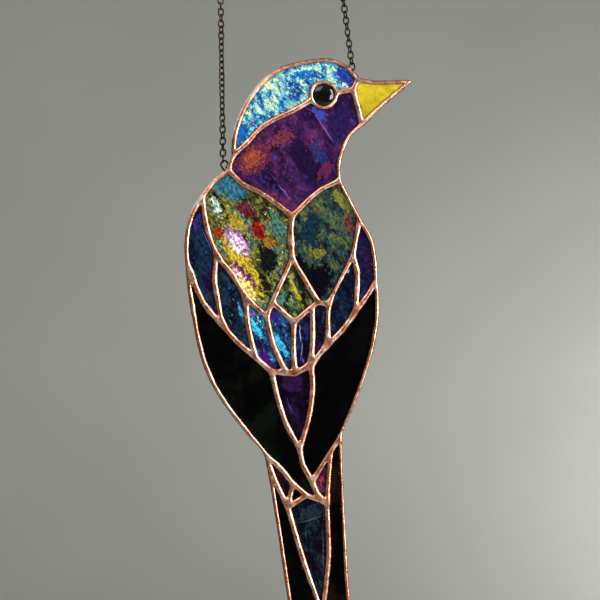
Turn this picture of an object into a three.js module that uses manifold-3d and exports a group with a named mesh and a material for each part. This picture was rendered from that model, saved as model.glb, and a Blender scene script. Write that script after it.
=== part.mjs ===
// Stained glass suncatcher: a bird of flat glass panes held in copper-coloured solder seams,
// hung by two wire loops on two fine chains that end in rings.
//
// Millimetres. +Z is up, +X is the way the beak points and the front looks along -Y.
// The origin is the bearing point inside the top of the left hanging ring.

import * as THREE from 'three';
import * as BufferGeometryUtils from 'three/addons/utils/BufferGeometryUtils.js';
import Module from 'manifold-3d';

const wasm = await Module();
wasm.setup();

// ---------------------------------------------------------------- driving dimensions

const GLASS_THICKNESS = 3;
const PANEL_THICKNESS = 5.6;        // over the solder beads, front to back
const SEAM_WIDTH = 2.8;             // bead between two panes
const RIM_WIDTH = 2.2;              // bead round the outside
const BEAD_CHAMFER = 0.7;           // how far a bead narrows towards its crest
const SEAM_WEB = 0.8;               // solder left between the edges of two panes
const RIM_WALL = 0.1;               // pane pocket, measured inwards from the rim's centre line
const GAP = 0.3;                    // clearance between pieces that touch
const OUTLINE_TOLERANCE = 0.29;     // largest distance between a curve and its straight runs
const FINE_STEPS = 48;              // straight steps a seam is drawn in before it is thinned
const BEVEL_BELOW = THREE.MathUtils.degToRad(75);   // sharper outer corners are blunted

const EYE_CENTRE = new THREE.Vector2(56.5, -66);
const EYE_RING_RADIUS = 7.1;        // centre line of the bead round the gem
const EYE_RING_HALF = 1;
const GEM_DOME = 2.4;               // how far the gem stands out of the glass face
const EYE_SIDES = 20;

const CHAIN_PLANE_Y = 0;
const LOOP_WIRE = 1;
const PANEL_Y = CHAIN_PLANE_Y - PANEL_THICKNESS / 2 - GAP - LOOP_WIRE / 2;

const LINK_WIRE = 0.9;
const LINK_WIDTH = 3.8;
const LINK_LENGTH = 5.1;
const RING_WIRE = 1.5;
const RING_INSIDE = 10;
const LOOP_WIDTH = 5;
const LOOP_LEG_SPREAD = 1.2;
const LOOP_BELLY = 0.66;            // the loop is widest this far up from its throat
const WIRE_SIDES = 6;
const RING_STEPS = 16;
const LOOP_STEPS = 26;

// ---------------------------------------------------------------- the pattern
// Where seams meet, as [x, z] on the panel.

const onEye = (degrees) => {
  const a = THREE.MathUtils.degToRad(degrees);
  return [EYE_CENTRE.x + EYE_RING_RADIUS * Math.cos(a), EYE_CENTRE.y + EYE_RING_RADIUS * Math.sin(a)];
};
const EYE_BACK = 203;
const EYE_FRONT = 11;

const corners = {
  nape: [6.5, -100], notch: [4, -108], eyeBack: onEye(EYE_BACK), eyeFront: onEye(EYE_FRONT),
  brow: [73, -62.5], forehead: [75.5, -57], beakTip: [105.5, -57.5], chin: [78, -82],
  throat: [65.5, -113], heart: [39, -133], leftShoulder: [-10.5, -123], rightShoulder: [76.5, -134],
  fork: [39, -155.5], leftCorner: [28, -180], rightCorner: [53.5, -180], diamondTip: [40, -191],
  leftTip: [25, -188], rightTip: [59.5, -181], leftBend: [-2.5, -154.5], rightBend: [73, -153.5],
  leftMiddle: [13, -177], rightMiddle: [50, -182.5], leftCrest: [-18.5, -159], rightCrest: [86, -168],
  leftWeb: [0.5, -192], rightWeb: [74, -185.5], leftFeather: [19, -210.5], rightFeather: [58.5, -203.5],
  leftRump: [27.5, -218], rightRump: [49.5, -214.5], cleft: [40.5, -219], leftCleft: [35.5, -218.5],
  wedgeTip: [43, -260.5], rightHip: [66, -253.5], leftHip: [25, -264], rightTail: [60.5, -262.5],
  crossing: [50, -278.5], leftBase: [39.5, -279.5], middleBase: [47, -286], rightBase: [58.5, -290.5],
  tailWeb: [36.5, -292.5], quillTip: [56, -353], tailLeft: [41, -365], tailRight: [72, -364],
  tailEnd: [57, -379.5],
};

// Seams between two panes: [from, to, points passed on the way].
const seams = {
  crownSeam: ['nape', 'eyeBack', [15.5, -91.5], [21, -85], [29, -80], [39.5, -75]],
  browSeam: ['eyeFront', 'brow', [68, -64]],
  lore: ['forehead', 'brow'],
  bill: ['brow', 'chin', [74.5, -69], [76.5, -76.5]],
  leftCollar: ['notch', 'heart', [9.5, -114], [17.5, -118.5], [24.5, -121.5], [31.5, -127]],
  rightCollar: ['throat', 'heart', [58.5, -115.5], [49, -123]],
  spine: ['heart', 'fork', [38, -141], [38.5, -148]],
  leftMantle: ['leftShoulder', 'leftBend', [-9.5, -130], [-8.5, -137], [-6, -146]],
  rightMantle: ['rightShoulder', 'rightBend', [75.5, -141], [74.5, -147]],
  leftMantleLow: ['leftBend', 'leftMiddle', [5, -163.5]],
  leftMantleTip: ['leftMiddle', 'leftTip', [20.5, -184]],
  rightMantleLow: ['rightBend', 'rightTip', [67, -166]],
  diamondUpLeft: ['fork', 'leftCorner', [33.5, -168]],
  diamondUpRight: ['fork', 'rightCorner', [43.5, -162.5], [48.5, -172.5]],
  diamondLowLeft: ['leftCorner', 'diamondTip'],
  diamondLowRight: ['rightCorner', 'rightMiddle'],
  diamondFoot: ['rightMiddle', 'diamondTip'],
  leftStub: ['leftCorner', 'leftTip'],
  rightStub: ['rightCorner', 'rightTip'],
  feather1: ['leftBend', 'leftWeb', [-4, -162], [-3, -173]],
  feather2: ['leftMiddle', 'leftFeather', [14, -189], [16, -199.5]],
  feather3: ['leftTip', 'leftCleft', [26.5, -197.5], [30.5, -208]],
  feather4: ['diamondTip', 'cleft', [39.5, -201]],
  feather5: ['rightMiddle', 'rightRump', [50.5, -193.5], [50, -204.5]],
  feather6: ['rightTip', 'rightFeather', [59.5, -192]],
  feather7: ['rightBend', 'rightWeb', [75.5, -163.5], [75, -175]],
  leftWing1: ['leftCrest', 'leftWeb', [-14, -171.5], [-8, -183.5]],
  leftWing2: ['leftWeb', 'leftFeather', [8.5, -201.5]],
  leftWing3: ['leftFeather', 'leftRump'],
  rump1: ['leftRump', 'leftCleft'],
  rump2: ['leftCleft', 'cleft'],
  rump3: ['cleft', 'rightRump'],
  rightWing1: ['rightCrest', 'rightWeb', [80, -178]],
  rightWing2: ['rightWeb', 'rightFeather', [66, -196.5]],
  rightWing3: ['rightFeather', 'rightRump'],
  wedgeLeft: ['leftRump', 'wedgeTip', [30, -229], [35.5, -246.5]],
  wedgeRight: ['rightRump', 'wedgeTip', [50.5, -224], [48.5, -242.5]],
  foldHigh: ['wedgeTip', 'crossing', [45, -269.5]],
  foldLow: ['crossing', 'rightBase', [53.5, -286.5]],
  hip1: ['leftHip', 'leftBase', [32.5, -271]],
  hip2: ['leftBase', 'middleBase'],
  hip3: ['middleBase', 'rightBase'],
  hip4: ['rightHip', 'rightTail'],
  hip5: ['rightTail', 'crossing'],
  triangle1: ['leftBase', 'tailWeb', [38, -285.5]],
  triangle2: ['middleBase', 'tailWeb'],
  leftTailTop: ['leftHip', 'tailWeb', [27, -271.5], [30.5, -280], [34, -287]],
  leftQuill: ['tailWeb', 'quillTip', [40.5, -305], [44.5, -319.5], [49.5, -334.5]],
  rightTailTop: ['rightTail', 'rightBase', [59.5, -278]],
  rightQuill: ['rightBase', 'quillTip', [59.5, -311], [58.5, -330]],
  quill: ['quillTip', 'tailEnd'],
};

// Seams on the outside, in order clockwise from the nape.
const rims = {
  crownRim: ['nape', 'forehead', [7, -91], [10.5, -79], [16.5, -67.5], [25, -57.5], [35, -51],
    [45.5, -48.5], [56, -46.5], [66, -48], [72, -53]],
  beakTop: ['forehead', 'beakTip', [80.5, -58.5], [93.5, -58]],
  beakUnder: ['beakTip', 'chin', [95.5, -66], [84.5, -75]],
  throatRim: ['chin', 'throat', [71, -88.5], [66.5, -98], [65, -105.5]],
  rightNeckRim: ['throat', 'rightShoulder', [70, -122]],
  rightShoulderRim: ['rightShoulder', 'rightCrest', [82.5, -144], [85, -154]],
  rightWingRim: ['rightCrest', 'rightHip', [87, -181.5], [84.5, -202], [78, -224]],
  rightTailRim: ['rightHip', 'tailRight', [67.5, -278], [68, -305], [70, -341]],
  rightTailEnd: ['tailRight', 'tailEnd', [71, -371.5], [66, -377]],
  leftTailEnd: ['tailEnd', 'tailLeft', [49, -377], [43.5, -372]],
  leftTailRim: ['tailLeft', 'leftHip', [37, -342], [32.5, -311], [29, -287]],
  leftWingRim: ['leftHip', 'leftCrest', [2.5, -235.5], [-7, -218.5], [-12.5, -201], [-15.5, -182.5],
    [-18.5, -168]],
  leftShoulderRim: ['leftCrest', 'leftShoulder', [-19, -151], [-18.5, -142.5], [-16, -132.5]],
  leftNeckRim: ['leftShoulder', 'notch', [-4, -114.5]],
  napeRim: ['notch', 'nape'],
};

// Panes: name, colour, roughness and the seams round them. A seam is used either way round.
const panes = [
  ['crown_pane', 0x2f8fc4, 0.25, ['crownRim', 'lore', 'browSeam', 'eyeTop', 'crownSeam']],
  ['neck_pane', 0x3a1e54, 0.2, ['crownSeam', 'eyeUnder', 'browSeam', 'bill', 'throatRim', 'rightCollar',
    'leftCollar', 'napeRim']],
  ['beak_pane', 0xc8aa1e, 0.4, ['beakTop', 'beakUnder', 'bill', 'lore']],
  ['left_mantle_pane', 0x5a6638, 0.2, ['leftNeckRim', 'leftCollar', 'spine', 'diamondUpLeft', 'leftStub',
    'leftMantleTip', 'leftMantleLow', 'leftMantle']],
  ['right_mantle_pane', 0x2e4230, 0.2, ['rightCollar', 'rightNeckRim', 'rightMantle', 'rightMantleLow',
    'rightStub', 'diamondUpRight', 'spine']],
  ['diamond_pane', 0x33442c, 0.2, ['diamondUpLeft', 'diamondUpRight', 'diamondLowRight', 'diamondFoot',
    'diamondLowLeft']],
  ['left_shoulder_pane', 0x171a3a, 0.15, ['leftShoulderRim', 'leftMantle', 'feather1', 'leftWing1']],
  ['left_covert_pane_1', 0x14283c, 0.15, ['feather1', 'leftMantleLow', 'feather2', 'leftWing2']],
  ['left_covert_pane_2', 0x1e4a80, 0.15, ['leftMantleTip', 'feather3', 'rump1', 'leftWing3', 'feather2']],
  ['centre_covert_pane_1', 0x1f4290, 0.15, ['leftStub', 'diamondLowLeft', 'feather4', 'rump2', 'feather3']],
  ['centre_covert_pane_2', 0x141c40, 0.15, ['diamondFoot', 'feather5', 'rump3', 'feather4']],
  ['right_covert_pane_1', 0x161c38, 0.15, ['diamondLowRight', 'rightStub', 'feather6', 'rightWing3',
    'feather5']],
  ['right_covert_pane_2', 0x10243a, 0.15, ['rightMantleLow', 'feather7', 'rightWing2', 'feather6']],
  ['right_shoulder_pane', 0x1a1a48, 0.15, ['rightShoulderRim', 'rightMantle', 'feather7', 'rightWing1']],
  ['left_wing_pane', 0x060606, 0.08, ['leftWingRim', 'leftWing1', 'leftWing2', 'leftWing3', 'wedgeLeft',
    'foldHigh', 'foldLow', 'hip3', 'hip2', 'hip1']],
  ['right_wing_pane', 0x060606, 0.08, ['rightWingRim', 'hip4', 'hip5', 'foldHigh', 'wedgeRight',
    'rightWing3', 'rightWing2', 'rightWing1']],
  ['rump_pane', 0x120a22, 0.12, ['rump1', 'rump2', 'rump3', 'wedgeRight', 'wedgeLeft']],
  ['left_tail_triangle_pane', 0x241228, 0.2, ['hip1', 'triangle1', 'leftTailTop']],
  ['small_tail_triangle_pane', 0x060606, 0.1, ['hip2', 'triangle2', 'triangle1']],
  ['right_tail_triangle_pane', 0x5a2050, 0.3, ['hip5', 'rightTailTop', 'foldLow']],
  ['tail_quill_pane', 0x141c34, 0.15, ['triangle2', 'hip3', 'rightQuill', 'leftQuill']],
  ['left_tail_pane', 0x060606, 0.08, ['leftTailTop', 'leftQuill', 'quill', 'leftTailEnd',
    'leftTailRim']],
  ['right_tail_pane', 0x0a0705, 0.08, ['hip4', 'rightTailTop', 'rightQuill', 'quill', 'rightTailEnd',
    'rightTailRim']],
];

// ---------------------------------------------------------------- curves and outlines

function seamCurve(definition) {
  const [from, to, ...passed] = definition;
  const points = [corners[from], ...passed, corners[to]].map(([x, z]) => new THREE.Vector2(x, z));
  if (points.length === 2) return new THREE.LineCurve(points[0], points[1]);
  return new THREE.SplineCurve(points);
}

function eyeArc(fromDegrees, toDegrees) {
  const [from, to] = [fromDegrees, toDegrees].map(THREE.MathUtils.degToRad);
  return new THREE.EllipseCurve(EYE_CENTRE.x, EYE_CENTRE.y, EYE_RING_RADIUS, EYE_RING_RADIUS,
    from, to, toDegrees < fromDegrees);
}

// A seam drawn finely, with its number of straight runs from its length and how far it turns.
function drawnSeam(curve, rim, half = SEAM_WIDTH / 2) {
  const fine = curve.getSpacedPoints(FINE_STEPS);
  let turn = 0;
  for (let i = 1; i < fine.length - 1; i++) {
    const before = fine[i].clone().sub(fine[i - 1]);
    const after = fine[i + 1].clone().sub(fine[i]);
    turn += Math.abs(Math.atan2(before.cross(after), before.dot(after)));
  }
  const needed = Math.sqrt(curve.getLength() * turn / (8 * OUTLINE_TOLERANCE));
  const runs = Math.max(1, Math.ceil(needed - 0.3));
  return { fine, runs, rim, half };
}

const drawn = {};
for (const [name, definition] of Object.entries(seams)) {
  drawn[name] = drawnSeam(seamCurve(definition), false);
}
for (const [name, definition] of Object.entries(rims)) {
  drawn[name] = drawnSeam(seamCurve(definition), true, RIM_WIDTH / 2);
}
drawn.eyeTop = drawnSeam(eyeArc(EYE_BACK, EYE_FRONT), false, EYE_RING_HALF);
drawn.eyeUnder = drawnSeam(eyeArc(EYE_BACK, EYE_FRONT + 360), false, EYE_RING_HALF);

// The named seams joined end to end, each turned to follow the one before, anticlockwise.
function closedLoop(names) {
  const near = (a, b) => a.distanceTo(b) < 0.01;
  const sides = names.map((name) => ({ ...drawn[name] }));
  const first = sides[0].fine;
  const second = sides[1].fine;
  if (near(first[0], second[0]) || near(first[0], second.at(-1))) sides[0].fine = [...first].reverse();
  for (let i = 1; i < sides.length; i++) {
    const end = sides[i - 1].fine.at(-1);
    if (!near(sides[i].fine[0], end)) sides[i].fine = [...sides[i].fine].reverse();
    if (!near(sides[i].fine[0], end)) throw new Error(`seams ${names[i - 1]} and ${names[i]} do not meet`);
  }
  if (THREE.ShapeUtils.area(sides.flatMap((side) => side.fine.slice(1))) > 0) return sides;
  return sides.reverse().map((side) => ({ ...side, fine: [...side.fine].reverse() }));
}

// One side moved inwards by a distance, and run on straight at both ends.
function movedSide(points, inwards) {
  const moved = points.map((point, i) => {
    const after = points[Math.min(i + 1, points.length - 1)];
    const before = points[Math.max(i - 1, 0)];
    const along = after.clone().sub(before).normalize();
    return new THREE.Vector2(point.x - along.y * inwards, point.y + along.x * inwards);
  });
  const runOn = 4 * Math.abs(inwards) + 1;
  const start = moved[0].clone().sub(moved[1]).setLength(runOn).add(moved[0]);
  const end = moved.at(-1).clone().sub(moved.at(-2)).setLength(runOn).add(moved.at(-1));
  return [start, ...moved, end];
}

// Where two moved sides cross, as positions along each, nearest their common corner.
function crossing(a, b) {
  let best = null;
  for (let i = a.length - 2; i >= 0; i--) {
    for (let j = 0; j < b.length - 1; j++) {
      const r = a[i + 1].clone().sub(a[i]);
      const s = b[j + 1].clone().sub(b[j]);
      const det = r.cross(s);
      if (Math.abs(det) < 1e-9) continue;
      const gap = b[j].clone().sub(a[i]);
      const t = gap.cross(s) / det;
      const u = gap.cross(r) / det;
      if (t < 0 || t > 1 || u < 0 || u > 1) continue;
      const far = Math.abs(a.length - 2 - i - t) + Math.abs(j + u - 1);
      if (!best || far < best.far) best = { far, leave: i + t, enter: j + u };
    }
  }
  return best;
}

const pointAlong = (points, position) => {
  const i = Math.min(Math.floor(position), points.length - 2);
  return points[i].clone().lerp(points[i + 1], position - i);
};

// The loop's outline moved inwards. `inwardsOf` gives each side its distance.
function outline(sides, inwardsOf) {
  const moved = sides.map((side) => movedSide(side.fine, inwardsOf(side)));
  const limits = moved.map((points) => ({ from: 1, to: points.length - 2 }));
  const blunt = sides.map(() => false);
  sides.forEach((side, i) => {
    const next = (i + 1) % sides.length;
    const leaving = side.fine.at(-1).clone().sub(side.fine.at(-2));
    const entering = sides[next].fine[1].clone().sub(sides[next].fine[0]);
    const bend = Math.atan2(leaving.cross(entering), leaving.dot(entering));
    blunt[i] = inwardsOf(side) < 0 && Math.PI - bend < BEVEL_BELOW;
    if (blunt[i]) return;
    const met = crossing(moved[i], moved[next]);
    if (!met) return;
    limits[i].to = met.leave;
    limits[next].from = met.enter;
  });
  return sides.flatMap((side, i) => {
    const { from, to } = limits[i];
    const count = side.runs + (blunt[i] ? 1 : 0);
    const step = (to - from) / side.runs;
    return Array.from({ length: count }, (_, k) => pointAlong(moved[i], from + step * k));
  });
}

const circle = (radius) => Array.from({ length: EYE_SIDES }, (_, i) => {
  const a = 2 * Math.PI * i / EYE_SIDES;
  return new THREE.Vector2(EYE_CENTRE.x + radius * Math.cos(a), EYE_CENTRE.y + radius * Math.sin(a));
});

// ---------------------------------------------------------------- solids

// A closed skin over level outlines that all have the same number of points.
function stack(levels) {
  const count = levels[0].points.length;
  const positions = levels.flatMap(({ y, points }) => points.flatMap((p) => [p.x, y, p.y]));
  const index = [];
  for (let k = 0; k < levels.length - 1; k++) {
    for (let i = 0; i < count; i++) {
      const [a, b] = [k * count + i, k * count + (i + 1) % count];
      index.push(a, a + count, b, b, a + count, b + count);
    }
  }
  const last = (levels.length - 1) * count;
  for (const [a, b, c] of THREE.ShapeUtils.triangulateShape(levels[0].points, [])) index.push(a, b, c);
  for (const [a, b, c] of THREE.ShapeUtils.triangulateShape(levels.at(-1).points, [])) {
    index.push(last + a, last + c, last + b);
  }
  const geometry = new THREE.BufferGeometry();
  geometry.setAttribute('position', new THREE.Float32BufferAttribute(positions, 3));
  geometry.setIndex(index);
  return geometry;
}

function merged(geometry) {
  const bare = geometry.clone();
  bare.deleteAttribute('normal');
  bare.deleteAttribute('uv');
  return BufferGeometryUtils.mergeVertices(bare, 1e-4);
}

function toSolid(geometry) {
  const bare = merged(geometry);
  return new wasm.Manifold(new wasm.Mesh({
    numProp: 3,
    vertProperties: new Float32Array(bare.attributes.position.array),
    triVerts: new Uint32Array(bare.index.array),
  }));
}

function toGeometry(solid) {
  const mesh = solid.getMesh();
  const geometry = new THREE.BufferGeometry();
  geometry.setAttribute('position', new THREE.BufferAttribute(mesh.vertProperties, 3));
  geometry.setIndex(new THREE.BufferAttribute(mesh.triVerts, 1));
  return geometry;
}

const CREST = PANEL_THICKNESS / 2;
const POCKET = GLASS_THICKNESS / 2 + GAP;
const PAST_FACE = 0.4;
const crestInset = (side) => side.half - BEAD_CHAMFER * (1 + PAST_FACE / (CREST - POCKET));
const lipInset = (side) => side.half;
const pocketInset = (side) => (side.rim ? RIM_WALL : SEAM_WEB / 2);
const paneInset = (side) => pocketInset(side) + GAP;

// What is taken out of the solder for one pane: the bead slopes, and the slot its edge sits in.
function paneOpening(sides) {
  const at = (y, inset) => ({ y, points: outline(sides, inset) });
  return stack([
    at(-CREST - PAST_FACE, crestInset), at(-POCKET, lipInset), at(-POCKET, pocketInset),
    at(POCKET, pocketInset), at(POCKET, lipInset), at(CREST + PAST_FACE, crestInset),
  ]);
}

function eyeOpening() {
  const window = EYE_RING_RADIUS - EYE_RING_HALF;
  const slot = EYE_RING_RADIUS - SEAM_WEB / 2;
  const at = (y, radius) => ({ y, points: circle(radius) });
  return stack([
    at(-CREST - PAST_FACE, window + BEAD_CHAMFER), at(-POCKET, window), at(-POCKET, slot),
    at(POCKET, slot), at(POCKET, window), at(CREST + PAST_FACE, window + BEAD_CHAMFER),
  ]);
}

function solderLattice() {
  const rim = closedLoop(Object.keys(rims));
  const outer = -RIM_WIDTH / 2;
  const at = (y, inset) => ({ y, points: outline(rim, () => inset) });
  let solid = toSolid(stack([
    at(-CREST, outer + BEAD_CHAMFER), at(-POCKET, outer),
    at(POCKET, outer), at(CREST, outer + BEAD_CHAMFER),
  ]));
  for (const [, , , names] of panes) solid = solid.subtract(toSolid(paneOpening(closedLoop(names))));
  return toGeometry(solid.subtract(toSolid(eyeOpening())));
}

function glassPane(names) {
  const points = outline(closedLoop(names), paneInset);
  return stack([{ y: -GLASS_THICKNESS / 2, points }, { y: GLASS_THICKNESS / 2, points }]);
}

// The domed gem: a flat girdle held in the ring's slot, and a dome that comes through its window.
function eyeGem() {
  const girdle = EYE_RING_RADIUS - SEAM_WEB / 2 - GAP;
  const dome = EYE_RING_RADIUS - EYE_RING_HALF - GAP;
  const face = GLASS_THICKNESS / 2;
  const steps = 4;
  const arc = Array.from({ length: steps + 1 }, (_, i) => {
    const a = (Math.PI / 2) * i / steps;
    return new THREE.Vector2(dome * Math.cos(a), -face - GEM_DOME * Math.sin(a));
  });
  arc.at(-1).x = 0;
  const profile = [new THREE.Vector2(0, face), new THREE.Vector2(girdle, face),
    new THREE.Vector2(girdle, -face), ...arc].reverse();
  return merged(new THREE.LatheGeometry(profile, EYE_SIDES));
}

// A round wire bent into an oval: a torus pulled apart lengthwise. Its hole faces along Y.
function oval(width, length, wire, sides, bends) {
  const radius = (width - wire) / 2;
  const torus = new THREE.TorusGeometry(radius, wire / 2, sides, bends);
  torus.rotateZ(Math.PI / bends);
  torus.rotateX(Math.PI / 2);
  const position = torus.attributes.position;
  const shift = (length - width) / 2;
  for (let i = 0; i < position.count; i++) {
    position.setZ(i, position.getZ(i) + Math.sign(Math.round(position.getZ(i) * 1e4)) * shift);
  }
  return merged(torus);
}

// ---------------------------------------------------------------- hanging gear

const LINK_SIDES = 4;
const LINK_CORNERS = 8;
const LINK_REACH = (LINK_LENGTH - LINK_WIDTH) / 2
  + (LINK_WIDTH - LINK_WIRE) / 2 * Math.cos(Math.PI / LINK_CORNERS);   // centre to end wire
const LINK_BITE = 0.14;                                                // links press into each other
const LINK_PITCH = 2 * LINK_REACH - LINK_WIRE + LINK_BITE;
const RING_REACH = RING_INSIDE + RING_WIRE / 2;                        // bearing point to bottom wire
const FIRST_LINK = RING_REACH - (RING_WIRE + LINK_WIRE) / 2 - GAP + LINK_REACH;

// A run of links straight down. `turn` faces the first one, and the run is twisted a little midway.
function chainRun(count, turn, twist) {
  let solid = null;
  for (let k = 0; k < count; k++) {
    const link = oval(LINK_WIDTH, LINK_LENGTH, LINK_WIRE, LINK_SIDES, LINK_CORNERS);
    link.rotateZ(turn + k * Math.PI / 2 + twist * Math.sin(Math.PI * k / (count - 1)));
    link.translate(0, 0, -FIRST_LINK - k * LINK_PITCH);
    solid = solid ? solid.add(toSolid(link)) : toSolid(link);
  }
  return toGeometry(solid);
}

function hangingRing(turn) {
  const radius = (RING_INSIDE + RING_WIRE) / 2;
  const ring = new THREE.TorusGeometry(radius, RING_WIRE / 2, WIRE_SIDES, RING_STEPS);
  ring.rotateX(Math.PI / 2);
  ring.rotateZ(turn);
  ring.translate(0, 0, -RING_INSIDE / 2);
  return merged(ring);
}

// A teardrop of wire whose two legs lie side by side on the back of a seam.
function wireLoop(top, throatPoint, legEnd) {
  const upright = top.clone().sub(throatPoint);
  const side = new THREE.Vector2(upright.y, -upright.x).normalize();
  const leg = legEnd.clone().sub(throatPoint).normalize();
  const acrossLeg = new THREE.Vector2(-leg.y, leg.x);
  const legSide = acrossLeg.multiplyScalar(Math.sign(acrossLeg.dot(side)));
  const spread = LOOP_LEG_SPREAD / 2;
  const half = LOOP_WIDTH / 2 - LOOP_WIRE / 2;
  const place = (base, direction, distance) => {
    const p = base.clone().addScaledVector(direction, distance);
    return new THREE.Vector3(p.x, 0, p.y);
  };
  const belly = throatPoint.clone().addScaledVector(upright, LOOP_BELLY);
  const path = new THREE.CatmullRomCurve3([
    place(legEnd, legSide, spread), place(throatPoint, side, spread), place(belly, side, half),
    place(top, side, 0),
    place(belly, side, -half), place(throatPoint, side, -spread), place(legEnd, legSide, -spread),
  ], false, 'centripetal');
  const section = new THREE.Shape(Array.from({ length: WIRE_SIDES }, (_, i) => {
    const a = 2 * Math.PI * i / WIRE_SIDES;
    return new THREE.Vector2(Math.cos(a), Math.sin(a)).multiplyScalar(LOOP_WIRE / 2);
  }));
  return merged(new THREE.ExtrudeGeometry(section, { extrudePath: path, steps: LOOP_STEPS }));
}

// ---------------------------------------------------------------- the object

const suncatcher = new THREE.Group();

function addPart(parent, name, geometry, color, roughness, metalness) {
  const part = new THREE.Mesh(geometry, new THREE.MeshStandardMaterial({ color, roughness, metalness }));
  part.name = name;
  parent.add(part);
  return part;
}

const COPPER = [0xc88c73, 0.3, 1];
const DARK_WIRE = [0x2a221e, 0.5, 1];

const panel = new THREE.Group();
panel.position.y = PANEL_Y;
suncatcher.add(panel);
addPart(panel, 'solder_seams', solderLattice(), ...COPPER);
for (const [name, color, roughness, names] of panes) {
  addPart(panel, name, glassPane(names), color, roughness, 0);
}
const gem = addPart(panel, 'eye_gem', eyeGem(), 0x050505, 0.04, 0);
gem.position.set(EYE_CENTRE.x, 0, EYE_CENTRE.y);

// Each run: where its ring bears, the lean of the chain, its links, and which way the ring faces.
const LEFT_RUN = { name: 'left', x: 0, lean: 0.8, links: 29, ringTurn: 0, twist: 0.7 };
const RIGHT_RUN = { name: 'right', x: 66.5, lean: 8, links: 14, ringTurn: Math.PI / 2, twist: 0.25 };
const LOOP_LEG_ENDS = { left: new THREE.Vector2(10, -114.5), right: new THREE.Vector2(74.5, -66.5) };
const LOOP_THROATS = { left: new THREE.Vector2(3, -107.8), right: new THREE.Vector2(75.2, -60.2) };

for (const run of [LEFT_RUN, RIGHT_RUN]) {
  const lean = THREE.MathUtils.degToRad(run.lean);
  const hang = new THREE.Group();
  hang.position.x = run.x;
  hang.rotation.y = -lean;
  suncatcher.add(hang);
  addPart(hang, `${run.name}_hanging_ring`, hangingRing(run.ringTurn), ...DARK_WIRE);
  const links = chainRun(run.links, run.ringTurn + Math.PI / 2, run.twist);
  addPart(hang, `${run.name}_chain`, links, ...DARK_WIRE);
  const lastLink = FIRST_LINK + (run.links - 1) * LINK_PITCH;
  const loopTop = lastLink + LINK_REACH - (LINK_WIRE + LOOP_WIRE) / 2 - GAP;
  const top = new THREE.Vector2(run.x + loopTop * Math.sin(lean), -loopTop * Math.cos(lean));
  addPart(suncatcher, `${run.name}_wire_loop`,
    wireLoop(top, LOOP_THROATS[run.name], LOOP_LEG_ENDS[run.name]), ...DARK_WIRE);
}

export default suncatcher;
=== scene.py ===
"""Looks of the stained glass suncatcher: soldered copper seams, art glass panes, chains and studio."""
import math

import bmesh
import bpy
import numpy as np
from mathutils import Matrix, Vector, kdtree, noise
from mathutils.geometry import delaunay_2d_cdt


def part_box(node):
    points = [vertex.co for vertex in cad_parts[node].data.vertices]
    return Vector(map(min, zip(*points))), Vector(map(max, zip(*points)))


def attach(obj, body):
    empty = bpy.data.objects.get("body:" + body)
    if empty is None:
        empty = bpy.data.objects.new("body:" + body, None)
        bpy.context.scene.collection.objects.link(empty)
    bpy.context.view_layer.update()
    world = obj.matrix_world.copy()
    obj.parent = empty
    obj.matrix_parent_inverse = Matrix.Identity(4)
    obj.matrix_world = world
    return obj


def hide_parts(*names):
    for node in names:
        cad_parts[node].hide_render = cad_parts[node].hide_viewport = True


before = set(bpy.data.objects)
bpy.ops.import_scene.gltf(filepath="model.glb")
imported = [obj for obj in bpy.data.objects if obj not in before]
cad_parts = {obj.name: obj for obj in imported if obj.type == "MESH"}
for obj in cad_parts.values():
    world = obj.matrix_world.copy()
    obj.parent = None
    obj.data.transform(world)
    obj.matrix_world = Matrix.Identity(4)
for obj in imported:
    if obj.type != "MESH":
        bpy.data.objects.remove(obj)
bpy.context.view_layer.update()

MM = 0.001
WELD = 1e-6                                      # points of one piece closer than this, in metres, are one


def middle(node):
    low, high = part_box(node)
    return (Vector(low) + Vector(high)) / 2


# ------------------------------------------------------------------ sizes, in millimetres

PANEL_Y = middle("solder_seams").y / MM          # middle of the panel's thickness
GLASS_HALF = 1.5

BEAD_CREST = 2.75                                # solder's height over the panel's middle
BEAD_MOST = 2.95                                 # the most that its lumps come to
BEAD_RISE = 1.35                                 # a seam reaches its crest this far from the glass
RIM_RISE = 1.3
BEAD_FOOT = 0.32                                 # the CAD's windows are measured this far over the glass
BEAD_LAP = 0.17                                  # how much further a bead laps over the glass
POOL_SLOPE = 0.16                                # rise of the solder where a junction is wide
NICK_DEPTH = 0.45
SLOT_DEPTH = 0.85                                # the glass edge sits this far inside the solder
SLOT_PLAY = 0.02

FINE_STEP = 0.3                                  # spacing of points along the seams' true edges
SEAM_STEP = 0.85                                 # spacing of the mesh's points along the seams
SEAM_ROWS = (0.14, 0.38, 0.7, 1.1, 1.5, 2.0, 2.6, 3.3)    # how far in from an edge its rows lie
SEAM_GAP = 0.27                                  # least distance between two points of the rows
PANE_STEP = 1.5
PANE_FINE_STEP = 0.4

NICKS = [                                        # small cracks across a seam: x, z, size
    (14.6, -91.2, 0.55), (27.2, -262.4, 0.4), (36.2, -224.6, 0.5), (72.6, -171.0, 0.45),
    (50.2, -221.2, 0.5), (26.4, -226.4, 0.35),
]
POOLS = [                                        # where solder has pooled: x, z, reach, added half width
    (13.8, -178, 4.5, 0.7), (38.3, -148.5, 5.5, 0.75), (-17.8, -166, 5, 0.7), (0.8, -191.6, 3.6, 0.7),
    (73.6, -186.6, 4, 0.6), (58, -203.8, 4, 0.65), (48.6, -213.4, 3.6, 1.1), (40, -218.9, 5, 0.55),
    (34.5, -218.4, 2.6, 0.5), (27.4, -217.8, 2.6, 0.4), (39.6, -190.6, 2.6, 0.8), (38.6, -132, 3, 0.5),
    (59, -180.4, 2.6, 0.5), (-2, -154.6, 3.2, 0.5), (6, -100, 2.8, 0.5), (50, -277.5, 3.5, 0.3),
    (36.5, -291, 2.6, 0.3), (58, -289, 3, 0.3), (43, -259.5, 3.4, 0.3),
]


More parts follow.
